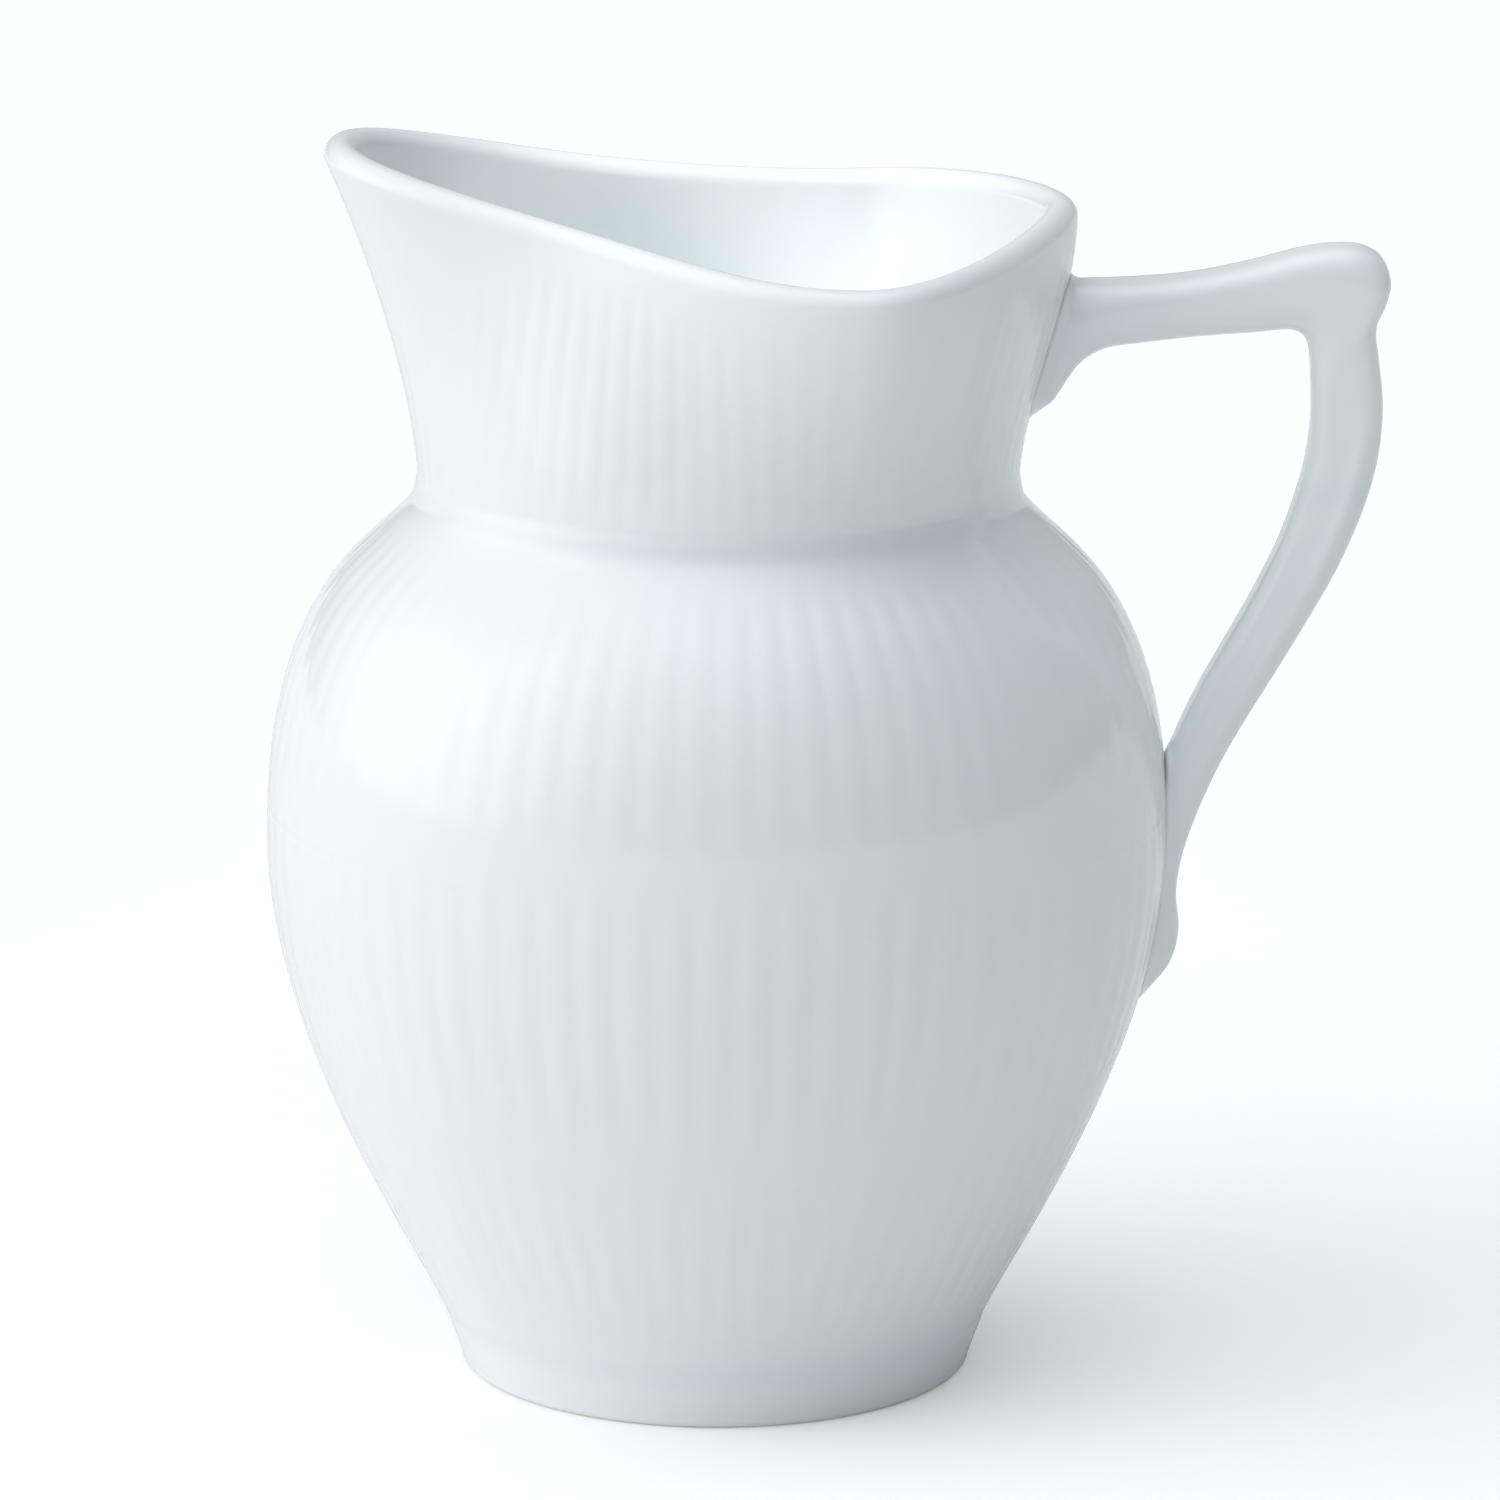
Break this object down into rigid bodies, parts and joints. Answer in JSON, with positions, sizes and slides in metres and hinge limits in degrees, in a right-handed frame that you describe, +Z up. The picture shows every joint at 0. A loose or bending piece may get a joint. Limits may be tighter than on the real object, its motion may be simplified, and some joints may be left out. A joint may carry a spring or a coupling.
{
  "type": "ceramic pitcher",
  "caption": "White glazed porcelain pitcher with a fluted round belly on a foot ring, a flared neck pulled into a pouring spout, and an angular strap handle with a thumb knob.",
  "frame": {"origin": "centre of the foot ring's standing face, on the belly's axis", "axes": "+Z up along the belly's axis, handle toward +X, spout toward -X; the pitcher is symmetrical about the XZ plane"},
  "size_m": [0.1113, 0.09, 0.125],
  "materials": {
    "glazed_porcelain": "clear gloss glaze over white porcelain, with shallow hand-finished flutes",
    "foot_porcelain": "clear gloss glaze, wiped off the standing edge, which is bare and ground smooth",
    "luting_slip": "white slip fired under the same clear glaze"
  },
  "bodies": {
    "root": {"foot_ring": "foot_porcelain", "base_floor": "glazed_porcelain", "lower_belly": "glazed_porcelain", "upper_belly": "glazed_porcelain", "neck_and_spout": "glazed_porcelain", "handle": "glazed_porcelain", "upper_handle_joint": "luting_slip", "lower_handle_joint": "luting_slip"}
  },
  "joints": []
}
